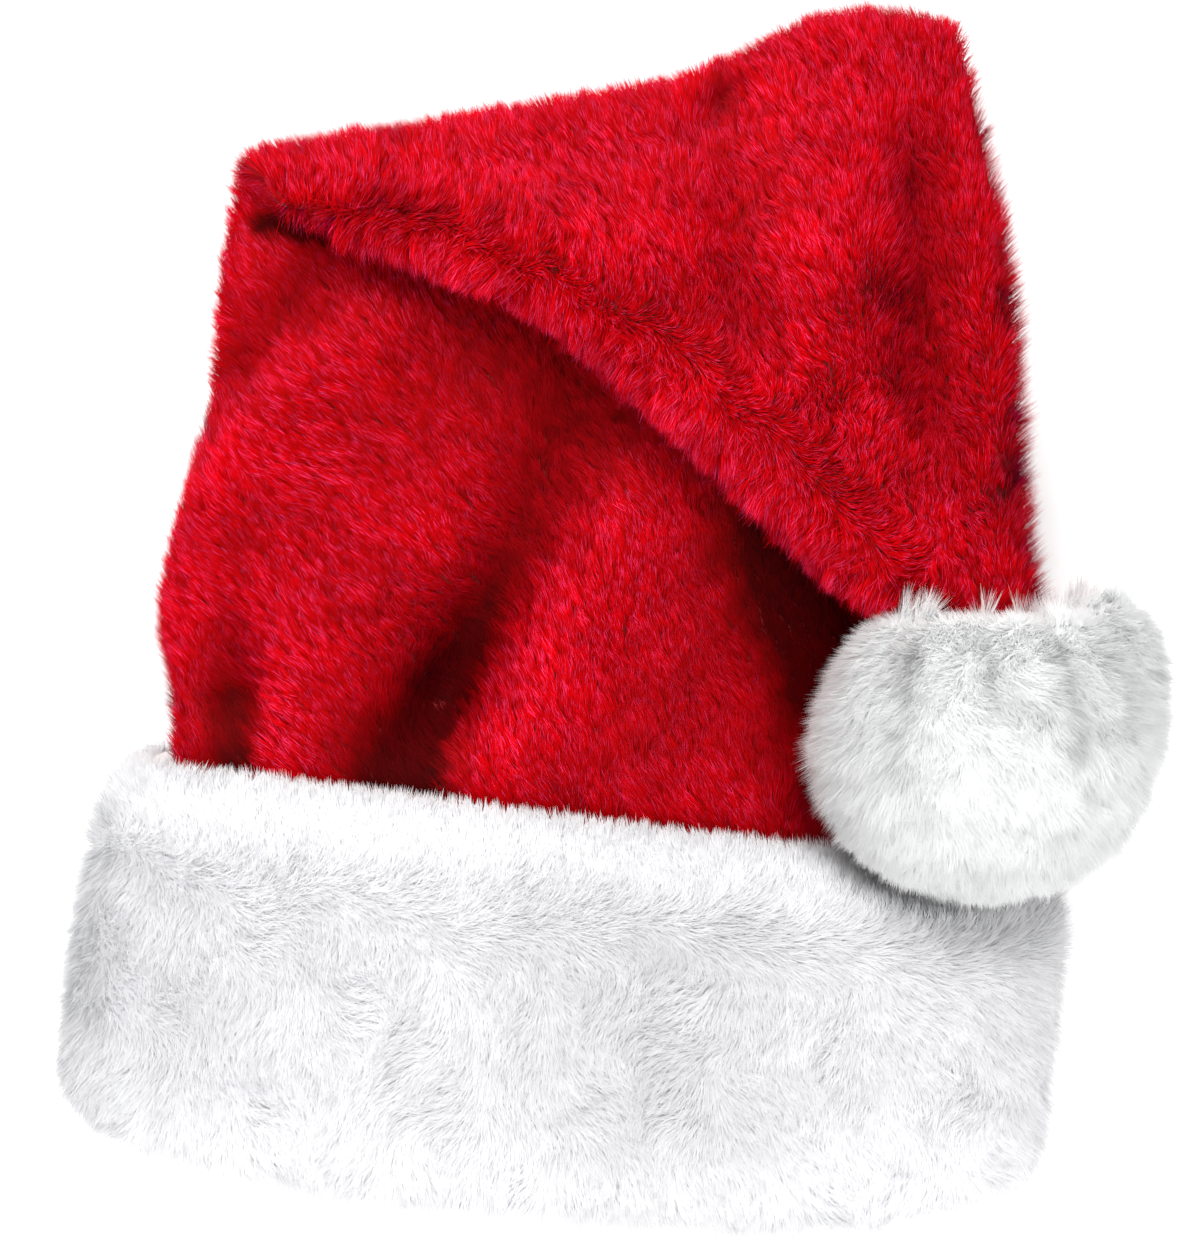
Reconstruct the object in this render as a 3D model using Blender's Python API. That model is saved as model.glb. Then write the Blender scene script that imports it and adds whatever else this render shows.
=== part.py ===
"""A plush santa hat lying on its back: a red crown folded over to the front, a deep fur cuff and a pompom.

Blender script, in metres with +Z up. The hat lies on the floor at z = 0 with its mouth towards -Y.
The crown is one hollow tube of cloth, lofted through the sections in the tables below. Each section is
a flattened ring. Its left and right ends are where the outline of the lying hat runs, seen from above.
"""

import math
import random
from collections import namedtuple

import bmesh
import bpy
import numpy as np

# Driving dimensions
HALF_WIDTH = 0.141  # half of the lying cuff's width, for every length across the hat
CUFF_LENGTH = 0.1055  # from the hem to the cuff's top edge
CROWN_LENGTH = 0.2235  # from the cuff's top edge to the top of the fold
LOFT = 0.038  # height of the empty crown where it is fullest
WALL = 0.003  # plush cloth with its pile pressed flat
GAP = 0.0005  # clearance between pieces that touch
POMPOM_ROOM = 0.0016  # clearance of the cuff's facets from the round pompom
HEM_TUCK = 0.007  # the crown ends this far inside the hem
CUFF_PILE = 0.0165  # thickness of the doubled fur on the front and sides
CUFF_PILE_BELOW = 0.0105  # the same fur squashed between the hat and the floor
CUFF_PILE_CRUSHED = 0.008  # the same fur squashed by the pompom
POMPOM_WIDTH = 0.090
POMPOM_LENGTH = 0.072
POMPOM_HEIGHT = 0.072
POMPOM_SEAT = 0.021  # height of the squashed crown that the pompom lies on
DIMPLE_DEPTH = 0.013  # the tip of the crown is gathered into this dimple of the pompom
TIP_RADIUS = 0.0065
LOCK_HEIGHT = 0.005  # how far the longest locks of fur stand out of their backing
LOCK_LEAN = 0.004  # how far the tips of the cuff's locks lie over towards the hem
LOCK_SWAY = 0.0025  # how far the tips of the locks stray to either side

# Fineness of the faceted solids
AROUND = 44
ROW_STEP = 0.0165
POMPOM_AROUND = 28

# Shape constants without a size
SQUARENESS = 2.4  # power of the flattened rings: 2 is an ellipse, and more is boxier
BOW_POWER = 4
SOFT_PRESS = 0.05  # share of the loft over which a pressed surface rounds off
PLEATS = 9
PLEAT_DEPTH = 0.09
PEAK_AT = 0.72  # where the fold's peak lies, from -1 at the left end to 1 at the right end
PEAK_SPREAD = 0.34
RIM_SLOPE = 3  # how steeply the cloth rises again beside the pompom
EVENNESS = 0.28  # spreads the points of the flattened rings over their broad sides
SEED = 24
SEAM_TURN = 0.007  # angle from a side seam to the edge of each panel of the crown

# One row for each section of the tube, from the hem to the tip.
# left_x and right_x are shares of HALF_WIDTH. left_y, right_y and bow are shares of CUFF_LENGTH up to
# cuff_top and of CROWN_LENGTH after it, from the cuff's top edge. height, front and back are shares of
# LOFT: where the ends lie, and how far the two sides of the flattened tube stand off them. turn is how
# far the tube is folded over, in degrees. peak is the extra height of the outline near its right end,
# as a share like bow, and reach is the share of the way to the height of the pompom.
FIELDS = "name left_x left_y right_x right_y bow height front back turn peak reach"
Section = namedtuple("Section", FIELDS)
CUFF_SECTIONS = [
    Section("hem", -0.979, -0.800, 0.770, -0.985, -0.130, 0.68, 0.53, 0.50, 0, 0, 0),
    Section("cuff_middle", -0.929, -0.315, 0.790, -0.545, -0.055, 0.71, 0.58, 0.52, 5, 0, 0),
    Section("cuff_top", -0.862, 0.105, 0.809, -0.175, 0.055, 0.68, 0.55, 0.50, 14, 0, 0),
]
CROWN_SECTIONS = [
    Section("neck", -0.858, 0.078, 0.809, -0.052, 0.022, 0.66, 0.54, 0.50, 11, 0, 0),
    Section("above_cuff", -0.872, 0.145, 0.809, 0.036, 0.010, 0.53, 0.53, 0.52, 5, 0, 0),
    Section("bulge", -0.902, 0.224, 0.809, 0.134, 0, 0.42, 0.58, 0.50, 0, 0, 0),
    Section("belly", -0.886, 0.304, 0.801, 0.246, 0, 0.40, 0.60, 0.50, 0, 0, 0),
    Section("waist", -0.826, 0.443, 0.794, 0.412, 0, 0.37, 0.58, 0.48, 0, 0, 0),
    Section("shoulder", -0.788, 0.546, 0.780, 0.559, 0, 0.34, 0.53, 0.45, 0, 0.008, 0),
    Section("upper", -0.785, 0.650, 0.765, 0.702, -0.008, 0.30, 0.41, 0.40, 0, 0.024, 0),
    Section("below_fold", -0.778, 0.705, 0.752, 0.823, -0.014, 0.26, 0.31, 0.33, 0, 0.042, 0),
    Section("fold_start", -0.765, 0.734, 0.742, 0.890, -0.020, 0.24, 0.24, 0.25, 0, 0.056, 0),
    Section("fold_back", -0.750, 0.780, 0.736, 0.926, -0.020, 0.33, 0.24, 0.25, 45, 0.060, 0),
    Section("fold_top", -0.724, 0.803, 0.730, 0.940, -0.020, 0.55, 0.24, 0.25, 90, 0.060, 0),
    Section("fold_front", -0.686, 0.782, 0.736, 0.918, -0.020, 0.78, 0.24, 0.25, 135, 0.056, 0),
    Section("fold_end", -0.650, 0.745, 0.746, 0.880, -0.020, 0.87, 0.22, 0.28, 180, 0.050, 0),
    Section("flap_corner", -0.562, 0.729, 0.757, 0.835, -0.012, 0.95, 0.23, 0.34, 180, 0.040, 0),
    Section("flap_upper", -0.390, 0.685, 0.774, 0.761, 0, 1.09, 0.24, 0.41, 180, 0.026, 0),
    Section("flap_broad", -0.184, 0.632, 0.794, 0.675, 0, 1.21, 0.21, 0.46, 180, 0.012, 0),
    Section("flap_middle", 0.080, 0.500, 0.809, 0.570, 0, 1.26, 0.21, 0.48, 180, 0, 0),
    Section("flap_lower", 0.304, 0.370, 0.816, 0.440, 0, 1.28, 0.21, 0.47, 180, 0, 0),
    Section("flap_narrow", 0.462, 0.275, 0.826, 0.326, 0, 1.33, 0.21, 0.42, 180, 0, 0.1),
    Section("flap_end", 0.590, 0.234, 0.836, 0.244, 0, 1.45, 0.21, 0.31, 180, 0, 0.5),
    Section("gathers", 0.629, 0.200, 0.803, 0.205, 0, 1.52, 0.19, 0.20, 180, 0, 0.9),
]

# Soft folds of the cloth, as lines seen from above. depth and width are shares of LOFT, and a negative
# depth is a ridge. Each point is an x share of HALF_WIDTH, a y share of CROWN_LENGTH from the cuff's
# top edge, and the share of the depth that the fold has there.
Fold = namedtuple("Fold", "depth width points")
BODY_FOLDS = [
    Fold(0.30, 0.27, [(-0.70, 0.03, 1.0), (-0.71, 0.12, 0.9), (-0.72, 0.19, 0.3)]),
    Fold(-0.12, 0.22, [(-0.60, 0.04, 1.0), (-0.61, 0.16, 0.8), (-0.67, 0.24, 0.3)]),
    Fold(
        0.42,
        0.34,
        [(-0.37, 0.01, 1.0), (-0.31, 0.12, 1.0), (-0.23, 0.21, 0.7), (-0.11, 0.34, 0.35), (0.0, 0.53, 0.1)],
    ),
    Fold(-0.15, 0.32, [(-0.17, 0.03, 1.0), (-0.10, 0.14, 1.0), (0.00, 0.27, 0.9), (0.10, 0.36, 0.6)]),
    Fold(-0.12, 0.32, [(-0.77, 0.41, 1.0), (-0.60, 0.52, 1.0), (-0.43, 0.59, 0.8), (-0.31, 0.63, 0.6)]),
    Fold(0.15, 0.27, [(-0.74, 0.53, 1.0), (-0.60, 0.62, 0.8)]),
]
FLAP_FOLDS = [
    Fold(0.18, 0.32, [(0.62, 0.77, 0.8), (0.62, 0.59, 1.0), (0.64, 0.46, 0.8)]),
    Fold(0.20, 0.18, [(0.26, 0.87, 1.0), (0.23, 0.85, 0.8)]),
    Fold(0.12, 0.30, [(0.28, 0.74, 0.8), (0.27, 0.58, 1.0)]),
    Fold(-0.09, 0.34, [(0.46, 0.76, 1.0), (0.44, 0.54, 1.0)]),
]

# The section of the doubled fur, round from the hem up the outside and down the inside.
# along is the share of the way from the hem to the top, and pile the share of the fur's thickness.
Profile = namedtuple("Profile", "along pile")
CUFF_OUTSIDE = [
    Profile(0.00, 0.45),
    Profile(0.02, 0.78),
    Profile(0.08, 0.96),
    Profile(0.20, 1.00),
    Profile(0.32, 1.03),
    Profile(0.44, 1.05),
    Profile(0.56, 1.06),
    Profile(0.67, 1.07),
    Profile(0.77, 1.08),
    Profile(0.86, 1.07),
    Profile(0.94, 1.00),
    Profile(0.985, 0.80),
    Profile(1.00, 0.50),
]
CUFF_INSIDE = [
    Profile(0.985, 0.14),
    Profile(0.94, 0.0),
    Profile(0.80, 0.0),
    Profile(0.65, 0.0),
    Profile(0.35, 0.0),
    Profile(0.08, 0.0),
    Profile(0.015, 0.14),
]

# The pompom's outline, turned about the line that runs on from the tip. along is the share of its length
# from the rim, radius the share of half its width, lobe the share of the bulge that its seam lets out,
# and pleat the share of the gathers' depth.
Turning = namedtuple("Turning", "along radius lobe pleat")
POMPOM_OUTLINE = [
    Turning(0.09, 0.35, 0.0, 0.3),
    Turning(0.02, 0.49, 0.1, 0.7),
    Turning(0.00, 0.59, 0.3, 0.9),
    Turning(0.04, 0.74, 0.9, 1.0),
    Turning(0.15, 0.88, 1.0, 0.6),
    Turning(0.31, 0.97, 0.6, 0.3),
    Turning(0.48, 1.00, 0.2, 0.1),
    Turning(0.65, 0.95, 0.0, 0.0),
    Turning(0.80, 0.81, 0.0, 0.0),
    Turning(0.92, 0.58, 0.0, 0.0),
    Turning(0.985, 0.29, 0.0, 0.0),
]
LOBE_OUT = 0.24  # share of the half width
LOBE_BACK = 0.12  # share of the length
LOBE_ANGLE = math.radians(-14)
LOBE_SPREAD = 0.55


def metres(section, length):
    """The section with its shares turned into metres. length is what its y shares follow."""
    return section._replace(
        left_x=section.left_x * HALF_WIDTH,
        left_y=section.left_y * length,
        right_x=section.right_x * HALF_WIDTH,
        right_y=section.right_y * length,
        bow=section.bow * length,
        peak=section.peak * length,
        height=section.height * LOFT,
        front=section.front * LOFT,
        back=section.back * LOFT,
    )


SECTIONS = [metres(s, CUFF_LENGTH) for s in CUFF_SECTIONS] + [
    metres(s, CROWN_LENGTH) for s in CROWN_SECTIONS
]
TIP_X = (SECTIONS[-1].left_x + SECTIONS[-1].right_x) / 2
TIP_Y = (SECTIONS[-1].left_y + SECTIONS[-1].right_y) / 2
RIM_Y = TIP_Y + DIMPLE_DEPTH / 2
POMPOM_X = TIP_X
POMPOM_Y = RIM_Y - POMPOM_LENGTH / 2
POMPOM_Z = POMPOM_SEAT + LOCK_HEIGHT + POMPOM_HEIGHT / 2
TIP_END_Y = RIM_Y - DIMPLE_DEPTH + GAP


def tip_end():
    """The last section, a small round end at the bottom of the pompom's dimple."""
    return SECTIONS[-1]._replace(
        name="tip_end",
        left_x=TIP_X - TIP_RADIUS,
        left_y=TIP_END_Y,
        right_x=TIP_X + TIP_RADIUS,
        right_y=TIP_END_Y,
        front=TIP_RADIUS,
        back=TIP_RADIUS,
        reach=1,
    )


SECTIONS.append(tip_end())


def column(name):
    return np.array([getattr(s, name) for s in SECTIONS], float)


def section_knots():
    """How far along the tube each section lies, by whichever of its ends travels further."""
    heights = column("height")
    steps = [
        np.sqrt(np.diff(column(x)) ** 2 + np.diff(column(y)) ** 2 + np.diff(heights) ** 2)
        for x, y in (("left_x", "left_y"), ("right_x", "right_y"))
    ]
    return np.concatenate([[0.0], np.cumsum(np.maximum(*steps))])


KNOTS = section_knots()
CUFF_TOP = KNOTS[len(CUFF_SECTIONS) - 1]
NAKED = KNOTS[len(CUFF_SECTIONS) + 1]  # from here on no fur lies on the crown


def eased(values, station):
    """A cubic through the rows' values that never overshoots them."""
    step = np.diff(KNOTS)
    slope = np.diff(values) / step
    before, after = slope[:-1], slope[1:]
    same = before * after > 0
    middle = np.where(same, 2 * before * after / np.where(same, before + after, 1), 0)
    tangent = np.concatenate([slope[:1], middle, slope[-1:]])
    k = int(np.clip(np.searchsorted(KNOTS, station, side="right") - 1, 0, len(step) - 1))
    f = (station - KNOTS[k]) / step[k]
    return (
        values[k] * (1 + 2 * f) * (1 - f) ** 2
        + tangent[k] * step[k] * f * (1 - f) ** 2
        + values[k + 1] * f * f * (3 - 2 * f)
        + tangent[k + 1] * step[k] * f * f * (f - 1)
    )


def angles(count):
    return np.arange(count) * (2 * math.pi / count)


def flattened(turns):
    """Across and through shares of a flattened ring at these angles."""
    turns = turns + EVENNESS * np.sin(2 * turns)
    c, s = np.cos(turns), np.sin(turns)
    power = 2 / SQUARENESS
    return np.sign(c) * np.abs(c) ** power, np.sign(s) * np.abs(s) ** power


def fold_depth(folds, x, y):
    """How deep the folds press the cloth at these points, seen from above."""
    depth = np.zeros_like(x)
    for fold in folds:
        points = np.array(fold.points) * (HALF_WIDTH, CROWN_LENGTH, 1)
        nearest = np.full_like(x, np.inf)
        share = np.zeros_like(x)
        for (ax, ay, start), (bx, by, end) in zip(points[:-1], points[1:]):
            run = ((x - ax) * (bx - ax) + (y - ay) * (by - ay)) / ((bx - ax) ** 2 + (by - ay) ** 2)
            run = np.clip(run, 0, 1)
            away = np.hypot(x - ax - run * (bx - ax), y - ay - run * (by - ay))
            share = np.where(away < nearest, start + run * (end - start), share)
            nearest = np.minimum(nearest, away)
        depth += share * fold.depth * LOFT * np.exp(-((nearest / (fold.width * LOFT)) ** 2))
    return depth


def grown_outline(margin):
    """The pompom's outline from its rim to its far end, grown by a margin, as lengths and radii."""
    rows = POMPOM_OUTLINE[2:]
    along = np.array([row.along for row in rows] + [1.0]) * POMPOM_LENGTH
    radius = np.array([row.radius for row in rows] + [0.0]) * POMPOM_WIDTH / 2
    ahead, out = np.gradient(along), np.gradient(radius)
    size = np.hypot(ahead, out)
    return along - margin * out / size, radius + margin * ahead / size


def pompom_underside(x, y, clear):
    """Height of the pompom's underside over these points, its locks and this clearance included."""
    along, radii = grown_outline(LOCK_HEIGHT + clear)
    from_rim = RIM_Y - y
    radius = np.interp(from_rim, along, radii, left=0, right=0)
    away = np.abs(x - POMPOM_X)
    beyond = np.clip(along[0] - from_rim, 0, None) + np.clip(from_rim - along[-1], 0, None)
    beyond = beyond + np.clip(away - radius, 0, None)
    flatness = POMPOM_HEIGHT / POMPOM_WIDTH
    return POMPOM_Z - flatness * np.sqrt(np.clip(radius**2 - away**2, 0, None)) + RIM_SLOPE * beyond


def pressed(z, limit):
    """z kept under the limit, rounded off where the two meet."""
    soft = SOFT_PRESS * LOFT
    return -soft * np.logaddexp(-z / soft, -limit / soft)


def fur_cover(station):
    """Thickness of the crushed fur over the crown's front, from the cuff out to the bare cloth."""
    share = np.clip((NAKED - station) / (NAKED - CUFF_TOP), 0, 1)
    return share * share * (3 - 2 * share) * (CUFF_PILE_CRUSHED + POMPOM_ROOM)


def tube_ring(station, side=0.0, front=0.0, back=0.0, cover=None, turns=None):
    """Points round the crown's tube at a station. side, front and back grow the ring, or shrink it where
    they are negative. cover is how far its front stays below the pompom. turns are the points' angles."""
    at = {name: float(eased(column(name), station)) for name in Section._fields[1:]}
    left = np.array([at["left_x"], at["left_y"]])
    right = np.array([at["right_x"], at["right_y"]])
    half = np.linalg.norm(right - left) / 2
    across = (right - left) / (2 * half)
    outward = np.array([-across[1], across[0]])
    turn = math.radians(at["turn"])
    height = at["height"] + (POMPOM_Z - at["height"]) * at["reach"]
    c, s = flattened(angles(AROUND) if turns is None else turns)
    through = np.where(s > 0, at["front"] + front, at["back"] + back) * s
    plan = (left + right) / 2 + np.outer(c * (half + side), across)
    rise = at["bow"] * (1 - np.abs(c) ** BOW_POWER)
    rise += at["peak"] * np.exp(-(((c - PEAK_AT) / PEAK_SPREAD) ** 2))
    plan += np.outer(rise - through * math.sin(turn), outward)
    z = height + through * math.cos(turn)
    edge = np.clip(2 * np.abs(s), 0, 1)
    bare = np.clip((station - CUFF_TOP) / (NAKED - CUFF_TOP), 0, 1)
    if turn < math.pi / 4:
        fade = bare * math.cos(2 * turn)
        z = z - np.where(s > 0, edge * fade * fold_depth(BODY_FOLDS, *plan.T), 0)
        below = GAP + fur_cover(station) if cover is None else cover
        limit = pompom_underside(*plan.T, below) + min(front, 0)
        z = pressed(z, limit - np.where(s > 0, 0, GAP))
    elif turn > 3 * math.pi / 4:
        fade = -math.cos(turn)
        z = z - np.where(s < 0, edge * fade * fold_depth(FLAP_FOLDS, *plan.T), 0)
    floor = max(-back, 0)
    return np.column_stack([plan, np.maximum(z, floor)])


def crown_stations():
    """Where the crown's rings go: at the cuff's own rows under the fur, and then at even steps."""
    hidden = sorted(p.along * CUFF_TOP for p in CUFF_INSIDE if HEM_TUCK < p.along * CUFF_TOP)
    stations = [HEM_TUCK, *hidden, CUFF_TOP]
    for start, end in zip(KNOTS[len(CUFF_SECTIONS) - 1 : -1], KNOTS[len(CUFF_SECTIONS) :]):
        count = max(1, math.ceil((end - start) / ROW_STEP))
        stations.extend(start + (end - start) * (i + 1) / count for i in range(count))
    return stations


def add_ring(bm, points):
    return [bm.verts.new(p) for p in points]


def bridge(bm, lower, upper):
    """Quads between two rings with as many points."""
    count = len(lower)
    return [
        bm.faces.new((lower[i], lower[(i + 1) % count], upper[(i + 1) % count], upper[i]))
        for i in range(count)
    ]


def taut_quad(bm, lower, upper, i, j, upward):
    """The quad between points i and j of two rings as two triangles that bulge upward, or else downward."""
    a, b, c, d = lower[i], lower[j], upper[j], upper[i]
    risen = a.co.z + c.co.z > b.co.z + d.co.z
    halves = ((a, b, c), (a, c, d)) if risen == upward else ((a, b, d), (b, c, d))
    for corners in halves:
        bm.faces.new(corners)


def bridge_taut(bm, lower, upper, outward):
    """Triangles between two whole rings, split so that each pair bulges outward, or else inward."""
    count = len(lower)
    for i in range(count):
        front = i < count / 2
        taut_quad(bm, lower, upper, i, (i + 1) % count, upward=outward == front)


def plush(name, colour, roughness):
    material = bpy.data.materials.new(name)
    material.use_nodes = True
    shader = material.node_tree.nodes["Principled BSDF"]
    shader.inputs["Base Color"].default_value = (*colour, 1)
    shader.inputs["Roughness"].default_value = roughness
    shader.inputs["Metallic"].default_value = 0
    return material


def add_object(name, bm, material):
    bmesh.ops.recalc_face_normals(bm, faces=bm.faces)
    mesh = bpy.data.meshes.new(name)
    bm.to_mesh(mesh)
    bm.free()
    mesh.materials.append(material)
    mesh.shade_smooth()
    obj = bpy.data.objects.new(name, mesh)
    bpy.context.scene.collection.objects.link(obj)
    return obj


def build_panel(name, start):
    """One of the crown's two panels, a wall of cloth from one side seam, at this angle, to the other."""
    bm = bmesh.new()
    turns = np.linspace(start, start + math.pi, AROUND // 2 + 1)
    turns[[0, -1]] += (SEAM_TURN, -SEAM_TURN)
    stations = crown_stations()
    outside = [add_ring(bm, tube_ring(s, turns=turns)) for s in stations]
    stations[-1] -= WALL
    inside = [add_ring(bm, tube_ring(s, -WALL, -WALL, -WALL, turns=turns)) for s in stations]
    for rings in (outside, inside):
        for station, lower, upper in zip(stations, rings[:-1], rings[1:]):
            for i in range(len(turns) - 1):
                if station < CUFF_TOP:
                    taut_quad(bm, lower, upper, i, i + 1, upward=start > 0)
                else:
                    bm.faces.new((lower[i], lower[i + 1], upper[i + 1], upper[i]))
        bm.faces.new(rings[-1])
    hem = [(outside[0][i], outside[0][i + 1], inside[0][i + 1], inside[0][i]) for i in range(len(turns) - 1)]
    seams = [
        (outside[k][i], outside[k + 1][i], inside[k + 1][i], inside[k][i])
        for k in range(len(stations) - 1)
        for i in (0, -1)
    ]
    tip = (outside[-1][0], outside[-1][-1], inside[-1][-1], inside[-1][0])
    for corners in (*hem, *seams, tip):
        bm.faces.new(corners)
    return add_object(name, bm, plush("red_plush", (0.55, 0.004, 0.012), 0.8))


def add_locks(bm, faces, lean):
    """Raises each face into a lock of fur, except where the fur is pressed against the floor."""
    chance = random.Random(SEED)
    for face in faces:
        face.normal_update()
        if face.normal.z < -0.7 or min(v.co.z for v in face.verts) < LOCK_HEIGHT / 2:
            continue
        side = (face.verts[1].co - face.verts[0].co).normalized()
        tip = face.calc_center_median() + face.normal * LOCK_HEIGHT * chance.uniform(0.55, 1)
        tip += lean * chance.uniform(0.3, 1) + side * LOCK_SWAY * chance.uniform(-1, 1)
        poked = bmesh.ops.poke(bm, faces=[face])
        poked["verts"][0].co = tip


def keep_clear_of_pompom(bm):
    """Lowers the lock tips that would reach into the pompom."""
    for vert in bm.verts:
        limit = float(pompom_underside(vert.co.x, vert.co.y, POMPOM_ROOM))
        vert.co.z = min(vert.co.z, limit)


def build_cuff():
    """The white fur cuff, a doubled band round the crown, with rows of locks on its outside."""
    bm = bmesh.new()
    rings = []
    for row in CUFF_OUTSIDE + CUFF_INSIDE:
        pile = GAP + row.pile * CUFF_PILE
        below = GAP + row.pile * CUFF_PILE_BELOW
        crushed = POMPOM_ROOM + max(0, 1 - row.pile) * CUFF_PILE_CRUSHED
        points = tube_ring(row.along * CUFF_TOP, pile, pile, below, crushed)
        rings.append(add_ring(bm, points))
    skin = []
    for i, lower in enumerate(rings):
        upper = rings[(i + 1) % len(rings)]
        if i >= len(CUFF_OUTSIDE):
            bridge_taut(bm, lower, upper, outward=True)
            continue
        faces = bridge(bm, lower, upper)
        if 0 < i < len(CUFF_OUTSIDE) - 1:
            skin.extend(faces)
    bmesh.ops.recalc_face_normals(bm, faces=bm.faces)
    hemward = skin[0].calc_center_median() - skin[-1].calc_center_median()
    add_locks(bm, skin, hemward.normalized() * LOCK_LEAN)
    keep_clear_of_pompom(bm)
    return add_object("fur_cuff", bm, plush("white_fur", (0.86, 0.86, 0.85), 0.85))


def pompom_ring(row):
    turns = angles(POMPOM_AROUND)
    from_lobe = np.angle(np.exp(1j * (turns - LOBE_ANGLE)))
    lobe = row.lobe * np.exp(-((from_lobe / LOBE_SPREAD) ** 2))
    pleats = 1 - row.pleat * PLEAT_DEPTH * (0.5 - 0.5 * np.cos(PLEATS * turns))
    radius = POMPOM_WIDTH / 2 * (row.radius * pleats + LOBE_OUT * lobe)
    flatness = POMPOM_HEIGHT / POMPOM_WIDTH
    y = RIM_Y - row.along * POMPOM_LENGTH + LOBE_BACK * POMPOM_LENGTH * lobe
    return np.column_stack(
        [POMPOM_X + radius * np.cos(turns), y, POMPOM_Z + flatness * radius * np.sin(turns)]
    )


def dimple_bottom():
    """The ring at the bottom of the dimple, round and just wider than the tip of the crown."""
    turns = angles(POMPOM_AROUND)
    radius = TIP_RADIUS * 1.25 + GAP
    y = np.full_like(turns, RIM_Y - DIMPLE_DEPTH)
    return np.column_stack(
        [POMPOM_X + radius * np.cos(turns), y, POMPOM_Z + radius * np.sin(turns)]
    )


def build_pompom():
    """The white ball gathered round the crown's tip, with a lock of fur on each of its faces."""
    bm = bmesh.new()
    rings = [add_ring(bm, dimple_bottom())]
    rings += [add_ring(bm, pompom_ring(row)) for row in POMPOM_OUTLINE]
    bm.faces.new(rings[0])
    skin = []
    for i, (lower, upper) in enumerate(zip(rings[:-1], rings[1:])):
        faces = bridge(bm, lower, upper)
        if i > 2:
            skin.extend(faces)
    far_pole = bm.verts.new((POMPOM_X, RIM_Y - POMPOM_LENGTH, POMPOM_Z))
    last = rings[-1]
    for i, vert in enumerate(last):
        bm.faces.new((vert, last[(i + 1) % len(last)], far_pole))
    bmesh.ops.recalc_face_normals(bm, faces=bm.faces)
    add_locks(bm, skin, skin[0].normal * 0)
    return add_object("pompom", bm, plush("white_pompom", (0.88, 0.88, 0.87), 0.85))


def centre_on_origin(objects):
    """Puts the middle of the whole hat's box over the origin, with the floor at z = 0."""
    corners = np.array([v.co for obj in objects for v in obj.data.vertices])
    middle = (corners.min(axis=0) + corners.max(axis=0)) / 2
    for obj in objects:
        for vert in obj.data.vertices:
            vert.co.x -= middle[0]
            vert.co.y -= middle[1]


def main():
    for obj in list(bpy.data.objects):
        bpy.data.objects.remove(obj)
    panels = [build_panel("crown_front", 0.0), build_panel("crown_back", math.pi)]
    centre_on_origin([*panels, build_cuff(), build_pompom()])


main()
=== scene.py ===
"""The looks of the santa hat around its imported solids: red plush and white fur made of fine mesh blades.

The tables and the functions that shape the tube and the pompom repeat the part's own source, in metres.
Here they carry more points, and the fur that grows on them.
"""

import math
from collections import namedtuple

import bpy
import numpy as np
from mathutils import Matrix, Vector


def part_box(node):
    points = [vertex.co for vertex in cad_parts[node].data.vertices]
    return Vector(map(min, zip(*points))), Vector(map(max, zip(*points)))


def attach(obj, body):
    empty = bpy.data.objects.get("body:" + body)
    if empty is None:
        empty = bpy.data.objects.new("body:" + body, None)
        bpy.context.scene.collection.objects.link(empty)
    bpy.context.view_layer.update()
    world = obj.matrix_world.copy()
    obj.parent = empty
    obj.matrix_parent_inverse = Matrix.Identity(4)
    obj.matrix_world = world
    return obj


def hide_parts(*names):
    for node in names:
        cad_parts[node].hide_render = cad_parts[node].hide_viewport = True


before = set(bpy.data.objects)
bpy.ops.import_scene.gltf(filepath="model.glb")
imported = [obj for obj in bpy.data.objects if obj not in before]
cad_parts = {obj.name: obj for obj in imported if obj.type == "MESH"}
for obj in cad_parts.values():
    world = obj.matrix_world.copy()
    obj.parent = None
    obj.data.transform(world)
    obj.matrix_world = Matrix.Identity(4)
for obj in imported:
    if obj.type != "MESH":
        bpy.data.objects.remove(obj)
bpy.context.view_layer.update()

# Driving dimensions, the same as in the part's source
HALF_WIDTH = 0.141
CUFF_LENGTH = 0.1055
CROWN_LENGTH = 0.2235
LOFT = 0.038
WALL = 0.003
GAP = 0.0005
POMPOM_ROOM = 0.0016
HEM_TUCK = 0.007
CUFF_PILE = 0.0165
CUFF_PILE_BELOW = 0.0105
CUFF_PILE_CRUSHED = 0.008
POMPOM_WIDTH = 0.090
POMPOM_LENGTH = 0.072
POMPOM_HEIGHT = 0.072
POMPOM_SEAT = 0.021
DIMPLE_DEPTH = 0.013
TIP_RADIUS = 0.0065
LOCK_HEIGHT = 0.005
CAD_AROUND = 44

SQUARENESS = 2.4
BOW_POWER = 4
SIDE_FADE = 2
SOFT_PRESS = 0.05
PLEATS = 9
PLEAT_DEPTH = 0.09
PEAK_AT = 0.72
PEAK_SPREAD = 0.34
RIM_SLOPE = 3
EVENNESS = 0.28

# The camera's place in the tables' frame, and its lens
CAMERA_HEIGHT = 0.62
CAMERA_Y = 0.051
LENS_SHARE = 2106 / 1200  # focal length as a share of the picture's width
SENSOR = 36.0  # millimetres

FLOOR_ROOM = 0.0003

# Fineness of the skins
SKIN_AROUND = 132
SKIN_ROW = 0.0032
INNER_STEP = 3

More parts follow.
